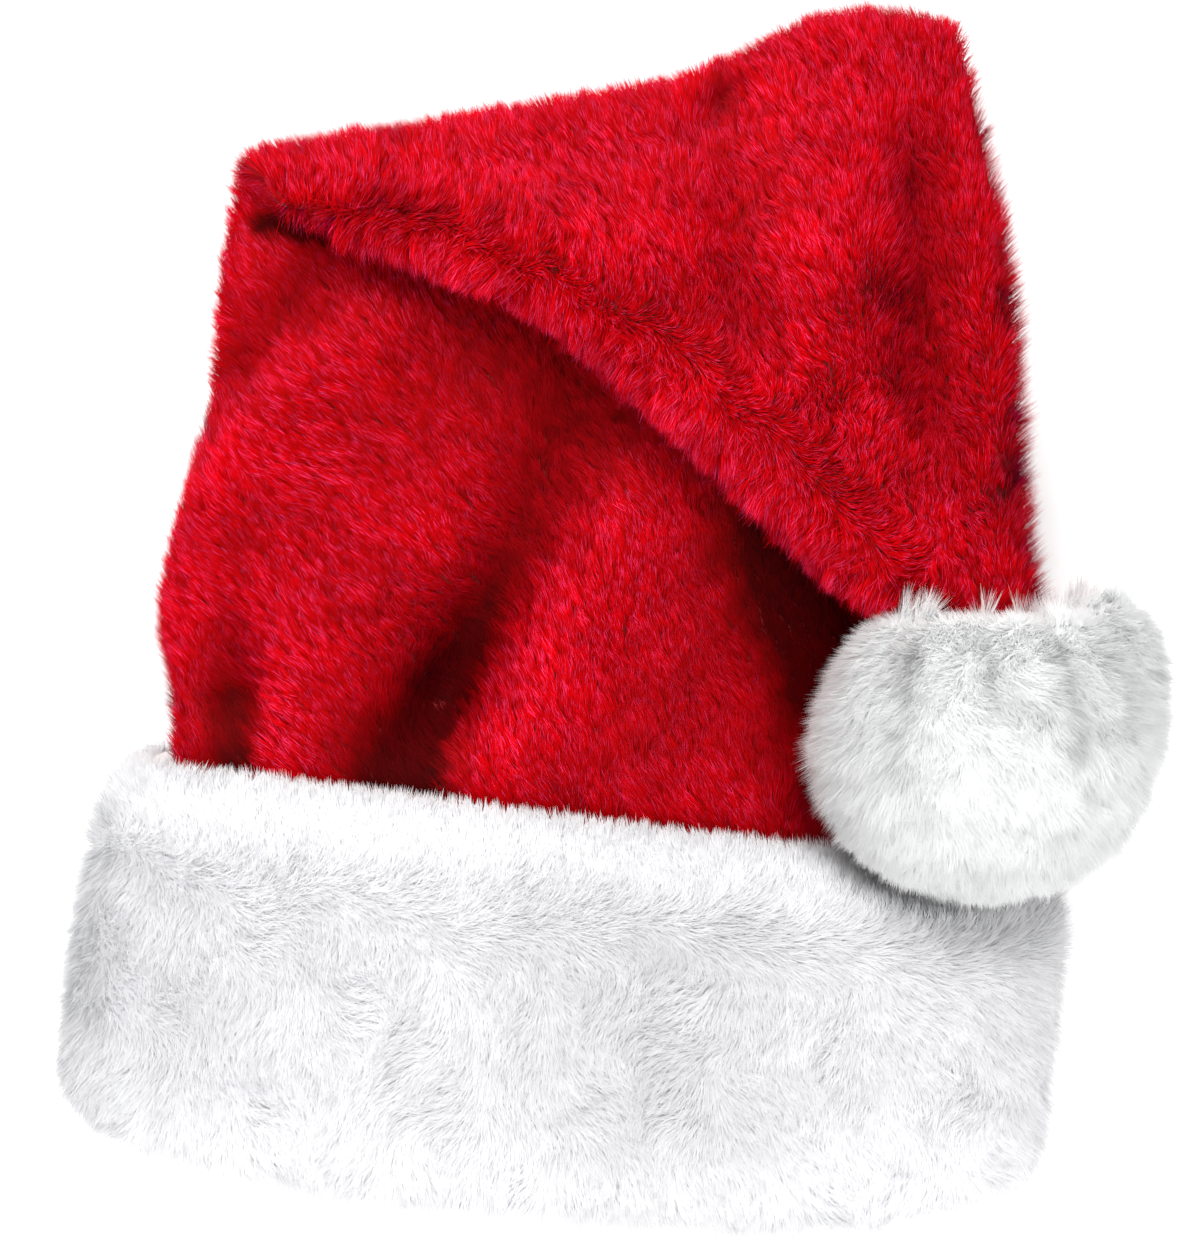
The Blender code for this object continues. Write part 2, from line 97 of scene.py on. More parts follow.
FIELDS = "name left_x left_y right_x right_y bow height front back turn peak reach"
Section = namedtuple("Section", FIELDS)
CUFF_SECTIONS = [
    Section("hem", -0.979, -0.800, 0.770, -0.985, -0.130, 0.68, 0.53, 0.50, 0, 0, 0),
    Section("cuff_middle", -0.929, -0.315, 0.790, -0.545, -0.055, 0.71, 0.58, 0.52, 5, 0, 0),
    Section("cuff_top", -0.862, 0.105, 0.809, -0.175, 0.055, 0.68, 0.55, 0.50, 14, 0, 0),
]
CROWN_SECTIONS = [
    Section("neck", -0.858, 0.078, 0.809, -0.052, 0.022, 0.66, 0.54, 0.50, 11, 0, 0),
    Section("above_cuff", -0.872, 0.145, 0.809, 0.036, 0.010, 0.53, 0.53, 0.52, 5, 0, 0),
    Section("bulge", -0.902, 0.224, 0.809, 0.134, 0, 0.42, 0.58, 0.50, 0, 0, 0),
    Section("belly", -0.886, 0.304, 0.801, 0.246, 0, 0.40, 0.60, 0.50, 0, 0, 0),
    Section("waist", -0.826, 0.443, 0.794, 0.412, 0, 0.37, 0.58, 0.48, 0, 0, 0),
    Section("shoulder", -0.788, 0.546, 0.780, 0.559, 0, 0.34, 0.53, 0.45, 0, 0.008, 0),
    Section("upper", -0.785, 0.650, 0.765, 0.702, -0.008, 0.30, 0.41, 0.40, 0, 0.024, 0),
    Section("below_fold", -0.778, 0.705, 0.752, 0.823, -0.014, 0.26, 0.31, 0.33, 0, 0.042, 0),
    Section("fold_start", -0.765, 0.734, 0.742, 0.890, -0.020, 0.24, 0.24, 0.25, 0, 0.056, 0),
    Section("fold_back", -0.750, 0.780, 0.736, 0.926, -0.020, 0.33, 0.24, 0.25, 45, 0.060, 0),
    Section("fold_top", -0.724, 0.803, 0.730, 0.940, -0.020, 0.55, 0.24, 0.25, 90, 0.060, 0),
    Section("fold_front", -0.686, 0.782, 0.736, 0.918, -0.020, 0.78, 0.24, 0.25, 135, 0.056, 0),
    Section("fold_end", -0.650, 0.745, 0.746, 0.880, -0.020, 0.87, 0.22, 0.28, 180, 0.050, 0),
    Section("flap_corner", -0.562, 0.729, 0.757, 0.835, -0.012, 0.95, 0.23, 0.34, 180, 0.040, 0),
    Section("flap_upper", -0.390, 0.685, 0.774, 0.761, 0, 1.09, 0.24, 0.41, 180, 0.026, 0),
    Section("flap_broad", -0.184, 0.632, 0.794, 0.675, 0, 1.21, 0.21, 0.46, 180, 0.012, 0),
    Section("flap_middle", 0.080, 0.500, 0.809, 0.570, 0, 1.26, 0.21, 0.48, 180, 0, 0),
    Section("flap_lower", 0.304, 0.370, 0.816, 0.440, 0, 1.28, 0.21, 0.47, 180, 0, 0),
    Section("flap_narrow", 0.462, 0.275, 0.826, 0.326, 0, 1.33, 0.21, 0.42, 180, 0, 0.1),
    Section("flap_end", 0.590, 0.234, 0.836, 0.244, 0, 1.45, 0.21, 0.31, 180, 0, 0.5),
    Section("gathers", 0.629, 0.200, 0.803, 0.205, 0, 1.52, 0.19, 0.20, 180, 0, 0.9),
]

Fold = namedtuple("Fold", "depth width points")
BODY_FOLDS = [
    Fold(0.30, 0.27, [(-0.70, 0.03, 1.0), (-0.71, 0.12, 0.9), (-0.72, 0.19, 0.3)]),
    Fold(-0.12, 0.22, [(-0.60, 0.04, 1.0), (-0.61, 0.16, 0.8), (-0.67, 0.24, 0.3)]),
    Fold(
        0.42,
        0.34,
        [(-0.37, 0.01, 1.0), (-0.31, 0.12, 1.0), (-0.23, 0.21, 0.7), (-0.11, 0.34, 0.35), (0.00, 0.53, 0.1)],
    ),
    Fold(-0.15, 0.32, [(-0.17, 0.03, 1.0), (-0.10, 0.14, 1.0), (0.00, 0.27, 0.9), (0.10, 0.36, 0.6)]),
    Fold(-0.12, 0.32, [(-0.77, 0.41, 1.0), (-0.60, 0.52, 1.0), (-0.43, 0.59, 0.8), (-0.31, 0.63, 0.6)]),
    Fold(0.15, 0.27, [(-0.74, 0.53, 1.0), (-0.60, 0.62, 0.8)]),
]
FLAP_FOLDS = [
    Fold(0.18, 0.32, [(0.62, 0.77, 0.8), (0.62, 0.59, 1.0), (0.64, 0.46, 0.8)]),
    Fold(0.20, 0.18, [(0.26, 0.87, 1.0), (0.23, 0.85, 0.8)]),
    Fold(0.12, 0.30, [(0.28, 0.74, 0.8), (0.27, 0.58, 1.0)]),
    Fold(-0.09, 0.34, [(0.46, 0.76, 1.0), (0.44, 0.54, 1.0)]),
]

# Painted shade on the body's pile, mostly under the flap's edge and in hollows, and painted light on one
# thin ridge where the depth is negative, as lines like the folds
BODY_PAINTED_SHADE_AND_LIGHT = [
    Fold(
        0.20,
        0.55,
        [(-0.52, 0.69, 0.4), (-0.19, 0.57, 0.9), (0.08, 0.45, 0.7), (0.31, 0.31, 0.8), (0.48, 0.20, 1.0)],
    ),
    Fold(0.34, 0.40, [(0.38, 0.30, 1.0), (0.44, 0.16, 0.9), (0.44, 0.02, 0.8)]),
    Fold(0.09, 0.60, [(-0.40, 0.50, 0.6), (-0.15, 0.42, 0.9), (0.05, 0.28, 0.0), (0.15, 0.05, 0.5)]),
    Fold(0.60, 0.10, [(-0.66, 0.728, 1.0), (-0.52, 0.712, 1.0)]),
    Fold(0.05, 0.30, [(-0.68, 0.02, 1.0), (-0.73, 0.12, 0.8), (-0.75, 0.24, 0.4)]),
    Fold(0.13, 0.26, [(-0.49, 0.00, 1.0), (-0.48, 0.10, 0.8), (-0.44, 0.20, 0.2)]),
    Fold(-0.20, 0.07, [(-0.605, 0.02, 1.0), (-0.620, 0.13, 0.8), (-0.650, 0.19, 0.0)]),
    Fold(0.12, 0.22, [(-0.37, -0.02, 1.0), (-0.34, 0.10, 1.0), (-0.22, 0.24, 0.6)]),
    Fold(0.10, 0.30, [(-0.72, 0.33, 0.6), (-0.50, 0.36, 0.6), (-0.42, 0.25, 0.4)]),
    Fold(0.08, 0.45, [(-0.05, 0.04, 0.6), (0.25, 0.10, 1.0)]),
    Fold(0.07, 0.32, [(-0.66, 0.52, 1.0), (-0.50, 0.58, 1.0)]),
]

# Painted shade on the cuff's fur in its middle and at its left, and painted light on its roll and along its
# hem, as lines like the folds
CUFF_PAINTED_SHADE_AND_LIGHT = [
    Fold(0.26, 1.00, [(0.06, -0.20, 1.0), (0.16, -0.36, 1.0)]),
    Fold(0.12, 0.50, [(-0.62, -0.10, 0.6), (-0.78, -0.24, 1.0)]),
    Fold(-0.22, 0.36, [(-0.86, 0.02, 0.5), (-0.40, 0.01, 1.0), (0.00, -0.01, 1.0), (0.50, -0.04, 1.0)]),
    Fold(-0.25, 0.45, [(-0.80, -0.40, 0.8), (-0.10, -0.46, 1.0), (0.75, -0.44, 1.0)]),
]

# The flap's slanting edge, seen from above, and how far from it the pile turns down
FLAP_EDGE = [
    (-0.66, 0.735, 0),
    (-0.45, 0.690, 0.7),
    (-0.29, 0.652, 1),
    (-0.08, 0.579, 1),
    (0.12, 0.476, 1),
    (0.54, 0.214, 1),
]
EDGE_SPREAD = 0.45
TUFT_SPREAD = 0.17

# Painted shade along the gathers' creases on the pompom, as lines like the folds
POMPOM_PAINTED_CREASE_SHADE = [
    Fold(0.022, 0.035, [(0.575, 0.200, 1.0), (0.557, 0.139, 0.8), (0.530, 0.050, 0.0)]),
    Fold(0.022, 0.030, [(0.707, 0.200, 1.0), (0.681, 0.139, 0.6), (0.663, 0.094, 0.0)]),
    Fold(0.020, 0.030, [(0.640, 0.200, 1.0), (0.630, 0.160, 0.0)]),
    Fold(0.020, 0.050, [(0.820, 0.200, 1.0), (0.840, 0.117, 0.6), (0.860, 0.060, 0.0)]),
]

Profile = namedtuple("Profile", "along pile")
CUFF_OUTSIDE = [
    Profile(0.00, 0.45),
    Profile(0.02, 0.78),
    Profile(0.08, 0.96),
    Profile(0.20, 1.00),
    Profile(0.32, 1.03),
    Profile(0.44, 1.05),
    Profile(0.56, 1.06),
    Profile(0.67, 1.07),
    Profile(0.77, 1.08),
    Profile(0.86, 1.07),
    Profile(0.94, 1.00),
    Profile(0.985, 0.80),
    Profile(1.00, 0.50),
]
CUFF_INSIDE = [
    Profile(0.985, 0.14),
    Profile(0.94, 0.0),
    Profile(0.80, 0.0),
    Profile(0.65, 0.0),
    Profile(0.35, 0.0),
    Profile(0.08, 0.0),
    Profile(0.015, 0.14),
]

Turning = namedtuple("Turning", "along radius lobe pleat")
POMPOM_OUTLINE = [
    Turning(0.09, 0.35, 0.0, 0.3),
    Turning(0.02, 0.49, 0.1, 0.7),
    Turning(0.00, 0.59, 0.3, 0.9),
    Turning(0.04, 0.74, 0.9, 1.0),
    Turning(0.15, 0.88, 1.0, 0.6),
    Turning(0.31, 0.97, 0.6, 0.3),
    Turning(0.48, 1.00, 0.2, 0.1),
    Turning(0.65, 0.95, 0.0, 0.0),
    Turning(0.80, 0.81, 0.0, 0.0),
    Turning(0.92, 0.58, 0.0, 0.0),
    Turning(0.985, 0.29, 0.0, 0.0),
]
RIM_ROW = 2
FAR_END = Turning(1.00, 0.03, 0.0, 0.0)
LOBE_OUT = 0.24
LOBE_BACK = 0.12
LOBE_ANGLE = math.radians(-14)
LOBE_SPREAD = 0.55


def metres(section, length):
    """The section with its shares turned into metres. length is what its y shares follow."""
    return section._replace(
        left_x=section.left_x * HALF_WIDTH,
        left_y=section.left_y * length,
        right_x=section.right_x * HALF_WIDTH,
        right_y=section.right_y * length,
        bow=section.bow * length,
        peak=section.peak * length,
        height=section.height * LOFT,
        front=section.front * LOFT,
        back=section.back * LOFT,
    )


SECTIONS = [metres(s, CUFF_LENGTH) for s in CUFF_SECTIONS] + [
    metres(s, CROWN_LENGTH) for s in CROWN_SECTIONS
]
TIP_X = (SECTIONS[-1].left_x + SECTIONS[-1].right_x) / 2
TIP_Y = (SECTIONS[-1].left_y + SECTIONS[-1].right_y) / 2
RIM_Y = TIP_Y + DIMPLE_DEPTH / 2
POMPOM_X = TIP_X
POMPOM_Y = RIM_Y - POMPOM_LENGTH / 2
POMPOM_Z = POMPOM_SEAT + LOCK_HEIGHT + POMPOM_HEIGHT / 2
TIP_END_Y = RIM_Y - DIMPLE_DEPTH + GAP
SECTIONS.append(
    SECTIONS[-1]._replace(
        name="tip_end",
        left_x=TIP_X - TIP_RADIUS,
        left_y=TIP_END_Y,
        right_x=TIP_X + TIP_RADIUS,
        right_y=TIP_END_Y,
        front=TIP_RADIUS,
        back=TIP_RADIUS,
        reach=1,
    )
)


def column(name):
    return np.array([getattr(s, name) for s in SECTIONS], float)


def section_knots():
    """How far along the tube each section lies, by whichever of its ends travels further."""
    heights = column("height")
    steps = [
        np.sqrt(np.diff(column(x)) ** 2 + np.diff(column(y)) ** 2 + np.diff(heights) ** 2)
        for x, y in (("left_x", "left_y"), ("right_x", "right_y"))
    ]
    return np.concatenate([[0.0], np.cumsum(np.maximum(*steps))])


KNOTS = section_knots()
CUFF_TOP = KNOTS[len(CUFF_SECTIONS) - 1]
NAKED = KNOTS[len(CUFF_SECTIONS) + 1]
FOLD_TOP = KNOTS[[s.name for s in SECTIONS].index("fold_top")]
COLUMNS = {name: column(name) for name in Section._fields[1:]}


def eased(values, station):
    """A cubic through the rows' values that never overshoots them."""
    step = np.diff(KNOTS)
    slope = np.diff(values) / step
    before, after = slope[:-1], slope[1:]
    same = before * after > 0
    middle = np.where(same, 2 * before * after / np.where(same, before + after, 1), 0)
    tangent = np.concatenate([slope[:1], middle, slope[-1:]])
    k = int(np.clip(np.searchsorted(KNOTS, station, side="right") - 1, 0, len(step) - 1))
    f = (station - KNOTS[k]) / step[k]
    return (
        values[k] * (1 + 2 * f) * (1 - f) ** 2
        + tangent[k] * step[k] * f * (1 - f) ** 2
        + values[k + 1] * f * f * (3 - 2 * f)
        + tangent[k + 1] * step[k] * f * f * (f - 1)
    )


def angles(count):
    return np.arange(count) * (2 * math.pi / count)


def flattened(turns):
    """Across and through shares of a flattened ring at these angles."""
    turns = turns + EVENNESS * np.sin(2 * turns)
    c, s = np.cos(turns), np.sin(turns)
    power = 2 / SQUARENESS
    return np.sign(c) * np.abs(c) ** power, np.sign(s) * np.abs(s) ** power


def fold_depth(folds, x, y):
    """How deep the folds press the cloth at these points, seen from above."""
    depth = np.zeros_like(x)
    for fold in folds:
        points = np.array(fold.points) * (HALF_WIDTH, CROWN_LENGTH, 1)
        nearest = np.full_like(x, np.inf)
        share = np.zeros_like(x)
        for (ax, ay, start), (bx, by, end) in zip(points[:-1], points[1:]):
            run = ((x - ax) * (bx - ax) + (y - ay) * (by - ay)) / ((bx - ax) ** 2 + (by - ay) ** 2)
            run = np.clip(run, 0, 1)
            away = np.hypot(x - ax - run * (bx - ax), y - ay - run * (by - ay))
            share = np.where(away < nearest, start + run * (end - start), share)
            nearest = np.minimum(nearest, away)
        depth += share * fold.depth * LOFT * np.exp(-((nearest / (fold.width * LOFT)) ** 2))
    return depth


def grown_outline(margin):
    """The pompom's outline from its rim to its far end, grown by a margin, as lengths and radii."""
    rows = POMPOM_OUTLINE[RIM_ROW:]
    along = np.array([row.along for row in rows] + [1.0]) * POMPOM_LENGTH
    radius = np.array([row.radius for row in rows] + [0.0]) * POMPOM_WIDTH / 2
    ahead, out = np.gradient(along), np.gradient(radius)
    size = np.hypot(ahead, out)
    return along - margin * out / size, radius + margin * ahead / size


def pompom_underside(x, y, clear):
    """Height of the pompom's underside over these points, its locks and this clearance included."""
    along, radii = grown_outline(LOCK_HEIGHT + clear)
    from_rim = RIM_Y - y
    radius = np.interp(from_rim, along, radii, left=0, right=0)
    away = np.abs(x - POMPOM_X)
    beyond = np.clip(along[0] - from_rim, 0, None) + np.clip(from_rim - along[-1], 0, None)
    beyond = beyond + np.clip(away - radius, 0, None)
    flatness = POMPOM_HEIGHT / POMPOM_WIDTH
    return POMPOM_Z - flatness * np.sqrt(np.clip(radius**2 - away**2, 0, None)) + RIM_SLOPE * beyond


def pressed(z, limit):
    """z kept under the limit, rounded off where the two meet."""
    soft = SOFT_PRESS * LOFT
    return -soft * np.logaddexp(-z / soft, -limit / soft)


def fur_cover(station):
    """Thickness of the crushed fur over the crown's front, from the cuff out to the bare cloth."""
    share = np.clip((NAKED - station) / (NAKED - CUFF_TOP), 0, 1)
    return share * share * (3 - 2 * share) * (CUFF_PILE_CRUSHED + POMPOM_ROOM)


def tube_ring(station, side=0.0, front=0.0, back=0.0, cover=None, around=CAD_AROUND):
    """Points round the crown's tube at a station, as in the part's source."""
    at = {name: float(eased(values, station)) for name, values in COLUMNS.items()}
    left = np.array([at["left_x"], at["left_y"]])
    right = np.array([at["right_x"], at["right_y"]])
    half = np.linalg.norm(right - left) / 2
    across = (right - left) / (2 * half)
    outward = np.array([-across[1], across[0]])
    turn = math.radians(at["turn"])
    height = at["height"] + (POMPOM_Z - at["height"]) * at["reach"]
    c, s = flattened(angles(around))
    through = np.where(s > 0, at["front"] + front, at["back"] + back) * s
    plan = (left + right) / 2 + np.outer(c * (half + side), across)
    rise = at["bow"] * (1 - np.abs(c) ** BOW_POWER)
    rise += at["peak"] * np.exp(-(((c - PEAK_AT) / PEAK_SPREAD) ** 2))
    plan += np.outer(rise - through * math.sin(turn), outward)
    z = height + through * math.cos(turn)
    edge = np.clip(SIDE_FADE * np.abs(s), 0, 1)
    bare = np.clip((station - CUFF_TOP) / (NAKED - CUFF_TOP), 0, 1)
    if turn < math.pi / 4:
        fade = bare * math.cos(2 * turn)
        z = z - np.where(s > 0, edge * fade * fold_depth(BODY_FOLDS, *plan.T), 0)
        below = GAP + fur_cover(station) if cover is None else cover
        limit = pompom_underside(*plan.T, below) + min(front, 0)
        z = pressed(z, limit - np.where(s > 0, 0, GAP))
    elif turn > 3 * math.pi / 4:
        fade = -math.cos(turn)
        z = z - np.where(s < 0, edge * fade * fold_depth(FLAP_FOLDS, *plan.T), 0)
    floor = max(-back, 0)
    return np.column_stack([plan, np.maximum(z, floor)])


def even_stations(start, end, step):
    return np.linspace(start, end, max(2, math.ceil((end - start) / step) + 1))


CROWN_NODES = [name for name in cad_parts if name.startswith("crown")]


def row_shift():
    """From the tables' frame to the row's: the crown's own box there and here."""
    stations = np.concatenate([even_stations(HEM_TUCK, CUFF_TOP, SKIN_ROW), KNOTS[len(CUFF_SECTIONS):]])
    rings = np.concatenate([tube_ring(s) for s in stations])
    high = np.max([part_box(name)[1] for name in CROWN_NODES], axis=0)
    return np.array([high[0] - rings[:, 0].max(), high[1] - rings[:, 1].max(), 0.0])


SHIFT = row_shift()


# Noise and small helpers
MIX_X = 127.1
MIX_Y = 311.7
MIX_Z = 74.7
MIX_SALT = 19.19
MIX_SCALE = 43758.5453
SMALLEST_LENGTH = 1e-12

Layer = namedtuple("Layer", "strength size salt")
Cover = namedtuple("Cover", "facing_up thickness")


def lattice(cells, salt):
    """Even numbers from 0 to 1 for whole-numbered cells, always the same."""
    mixed = cells[..., 0] * MIX_X + cells[..., 1] * MIX_Y + cells[..., 2] * MIX_Z + salt * MIX_SALT
    wave = np.sin(mixed) * MIX_SCALE
    return wave - np.floor(wave)


def soft_noise(points, size, salt):
    """Smooth noise from -1 to 1 with features of this size."""
    p = points / size
    cell = np.floor(p)
    f = p - cell
    f = f * f * (3 - 2 * f)
    total = np.zeros(len(points))
    for corner in np.ndindex(2, 2, 2):
        corner = np.array(corner)
        weight = np.prod(np.where(corner == 1, f, 1 - f), axis=1)
        total += weight * lattice(cell + corner, salt)
    return 2 * total - 1


def layered_noise(points, layers):
    """Smooth noise of several sizes laid over each other."""
    return sum(layer.strength * soft_noise(points, layer.size, layer.salt) for layer in layers)


def flat_heading(heading):
    """Directions along the floor at these angles."""
    return np.stack([np.cos(heading), np.sin(heading), np.zeros(len(heading))], axis=1)


def nearest_lock(points, size, salt):
    """The centre of the lock that each point belongs to, and a number for each lock."""
    cell = np.floor(points / size)
    best = np.full(len(points), np.inf)
    centre = np.zeros_like(points)
    tone = np.zeros(len(points))
    for step in np.ndindex(3, 3, 3):
        other = cell + np.array(step) - 1
        place = np.stack([lattice(other, salt + i) for i in range(3)], axis=1)
        spot = (other + place) * size
        away = np.sum((spot - points) ** 2, axis=1)
        closer = away < best
        best = np.where(closer, away, best)
        centre[closer] = spot[closer]
        tone[closer] = lattice(other, salt + 3)[closer]
    return centre, tone


def unit(vectors):
    return vectors / np.maximum(np.linalg.norm(vectors, axis=-1, keepdims=True), SMALLEST_LENGTH)


def grid_normals(grid):
    """Outward unit normals of a grid of rings, wrapped round its second axis."""
    along = np.gradient(grid, axis=0)
    around = (np.roll(grid, -1, axis=1) - np.roll(grid, 1, axis=1)) / 2
    normals = unit(np.cross(around, along))
    out = grid - grid.mean(axis=1, keepdims=True)
    return normals if np.sum(normals * out) > 0 else -normals


def drawn_thickness(normals, covers):
    """How thickly fur is drawn on a surface, by how much it faces up."""
    return np.interp(normals[..., 2], *np.array(covers).T)


def make_object(name, mesh, material):
    mesh.materials.append(material)
    obj = bpy.data.objects.new(name, mesh)
    bpy.context.scene.collection.objects.link(obj)
    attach(obj, "root")
    return obj


def grid_mesh(name, grids):
    """One mesh from rings wrapped round. grids is a list of (grid, material index)."""
    verts, faces, slots = [], [], []
    base = 0
    for grid, slot in grids:
        rows, around = grid.shape[:2]
        verts.append(grid.reshape(-1, 3))
        r, a = np.meshgrid(np.arange(rows - 1), np.arange(around), indexing="ij")
        b = (a + 1) % around
        corners = [r * around + a, r * around + b, (r + 1) * around + b, (r + 1) * around + a]
        quads = np.stack(corners, axis=-1)
        faces.append(quads.reshape(-1, 4) + base)
        slots.append(np.full(quads.size // 4, slot))
        base += rows * around
    mesh = bpy.data.meshes.new(name)
    mesh.from_pydata(np.concatenate(verts).tolist(), [], np.concatenate(faces).tolist())
    mesh.polygons.foreach_set("material_index", np.concatenate(slots).astype(np.int32))
    mesh.shade_smooth()
    return mesh


def scatter(grid, weights, count, rng):
    """Roots spread over a grid of rings by weight, with their normals."""
    normals = grid_normals(grid)
    next_ring = np.roll(grid, -1, axis=1)
    u = next_ring[:-1] - grid[:-1]
    v = grid[1:] - grid[:-1]
    area = np.linalg.norm(np.cross(u, v), axis=-1)
    share = (area * weights[:-1]).ravel()
    share /= share.sum()
    cell = rng.choice(share.size, size=count, p=share)
    row, col = np.divmod(cell, grid.shape[1])
    after = (col + 1) % grid.shape[1]
    a, b = rng.random((2, count, 1))
    roots = (grid[row, col] * (1 - a) + grid[row, after] * a) * (1 - b)
    roots += (grid[row + 1, col] * (1 - a) + grid[row + 1, after] * a) * b
    up = (normals[row, col] * (1 - a) + normals[row, after] * a) * (1 - b)
    up += (normals[row + 1, col] * (1 - a) + normals[row + 1, after] * a) * b
    return roots, unit(up), row + b[:, 0]


Coat = namedtuple("Coat", "length width lean lock lock_pull stray soften")

# How much the blades of one coat differ, as shares of its sizes and in radians
SHORTEST_BLADE = 0.72
BLADE_RANGE = 0.42
SHORTEST_LOCK = 0.86
LOCK_RANGE = 0.28
THINNEST_BLADE = 0.7
THICKNESS_RANGE = 0.6
LEAN_DRIFT = 0.16
LEAN_DRIFT_LOCKS = 4
SWING_DRIFT = 0.35
SWING_DRIFT_LOCKS = 5
LOCK_SWING = 0.6
TWIST = 0.5


def grow(name, roots, up, flow, coat, material, rng, lengths=1.0, leans=1.0, depth=0.0):
    """A coat of fine blades on these roots, each one triangle, leaning along the surface as flow says."""
    count = len(roots)
    flow = unit(flow - up * np.sum(flow * up, axis=1, keepdims=True))
    side = np.cross(up, flow)
    centre, tone = nearest_lock(roots, coat.lock, 5)
    reach = coat.length * (SHORTEST_BLADE + BLADE_RANGE * rng.random(count))
    reach = reach * (SHORTEST_LOCK + LOCK_RANGE * tone) * lengths
    lean = coat.lean * leans + LEAN_DRIFT * soft_noise(roots, LEAN_DRIFT_LOCKS * coat.lock, 21)
    lean = lean + coat.stray * (rng.random(count) - 0.5)
    swing = SWING_DRIFT * soft_noise(roots, SWING_DRIFT_LOCKS * coat.lock, 31)
    swing = swing + coat.stray * (rng.random(count) - 0.5)
    swing = swing + LOCK_SWING * (tone - 0.5)
    lean, swing, reach = lean[:, None], swing[:, None], reach[:, None]
    heading = up * np.cos(lean) + (flow * np.cos(swing) + side * np.sin(swing)) * np.sin(lean)
    tips = roots + unit(heading) * reach
    pull = centre - roots
    pull -= up * np.sum(pull * up, axis=1, keepdims=True)
    tips += coat.lock_pull * pull
    run = unit(tips - roots)
    broad = unit(np.cross(run, up) + TWIST * (rng.random((count, 3)) - 0.5))
    face_up = unit(np.cross(broad, run))
    turned = np.where(np.sum(face_up * up, axis=1, keepdims=True) < 0, -1, 1)
    broad, face_up = broad * turned, face_up * turned
    half = coat.width / 2 * (THINNEST_BLADE + THICKNESS_RANGE * rng.random((count, 1)))
    verts = np.stack([roots - broad * half, roots + broad * half, tips], axis=1).reshape(-1, 3)
    verts[:, 2] = np.maximum(verts[:, 2], FLOOR_ROOM)
    mesh = bpy.data.meshes.new(name)
    mesh.vertices.add(len(verts))
    mesh.vertices.foreach_set("co", verts.astype(np.float32).ravel())
    mesh.loops.add(len(verts))
    mesh.loops.foreach_set("vertex_index", np.arange(len(verts), dtype=np.int32))
    mesh.polygons.add(count)
    mesh.polygons.foreach_set("loop_start", np.arange(0, len(verts), 3, dtype=np.int32))
    mesh.update(calc_edges=True)
    mesh.shade_smooth()
    shade = unit(coat.soften * up + (1 - coat.soften) * face_up)
    mesh.normals_split_custom_set_from_vertices(np.repeat(shade, 3, axis=0))
    along = np.tile([0.0, 0.0, 1.0], count)
    # A random number for each blade that picks the blades with painted glints
    fleck = rng.random(count)
    # Each blade's depth: painted shade where positive, painted light where negative
    blade_shade_and_light = np.broadcast_to(depth, count)
    values = np.stack([along, np.repeat(tone, 3), np.repeat(fleck, 3), np.repeat(blade_shade_and_light, 3)], axis=1)
    colours = mesh.color_attributes.new("blade", "FLOAT_COLOR", "POINT")
    colours.data.foreach_set("color", values.astype(np.float32).ravel())
    return make_object(name, mesh, material)


# Materials
def new_material(name):
    material = bpy.data.materials.new(name)
    material.use_nodes = True
    nodes = material.node_tree.nodes
    return material, nodes, material.node_tree.links, nodes["Principled BSDF"]


Fur = namedtuple("Fur", "root tip fleck fleck_from hollow spread roughness specular sheen tint glow")

# Where along a blade and at what depth the colours change, and the tone that each gives: darker roots as
# painted shade in the pile, painted glints at some tips, painted shade by depth and painted light on ridges
TIP_COLOUR_FROM = 0.8
GLINT_ALONG_FROM = 0.5
NO_GLINT_DEPTH = 0.7
PATCH_SCALE = 45
PATCH_DETAIL = 0
TONE_LOW = 0.3
TONE_HIGH = 1.7
PAINTED_LIGHT_DEPTH = -0.4
PAINTED_LIGHT_TONE = 1.15
SHEEN_ROUGHNESS = 0.4


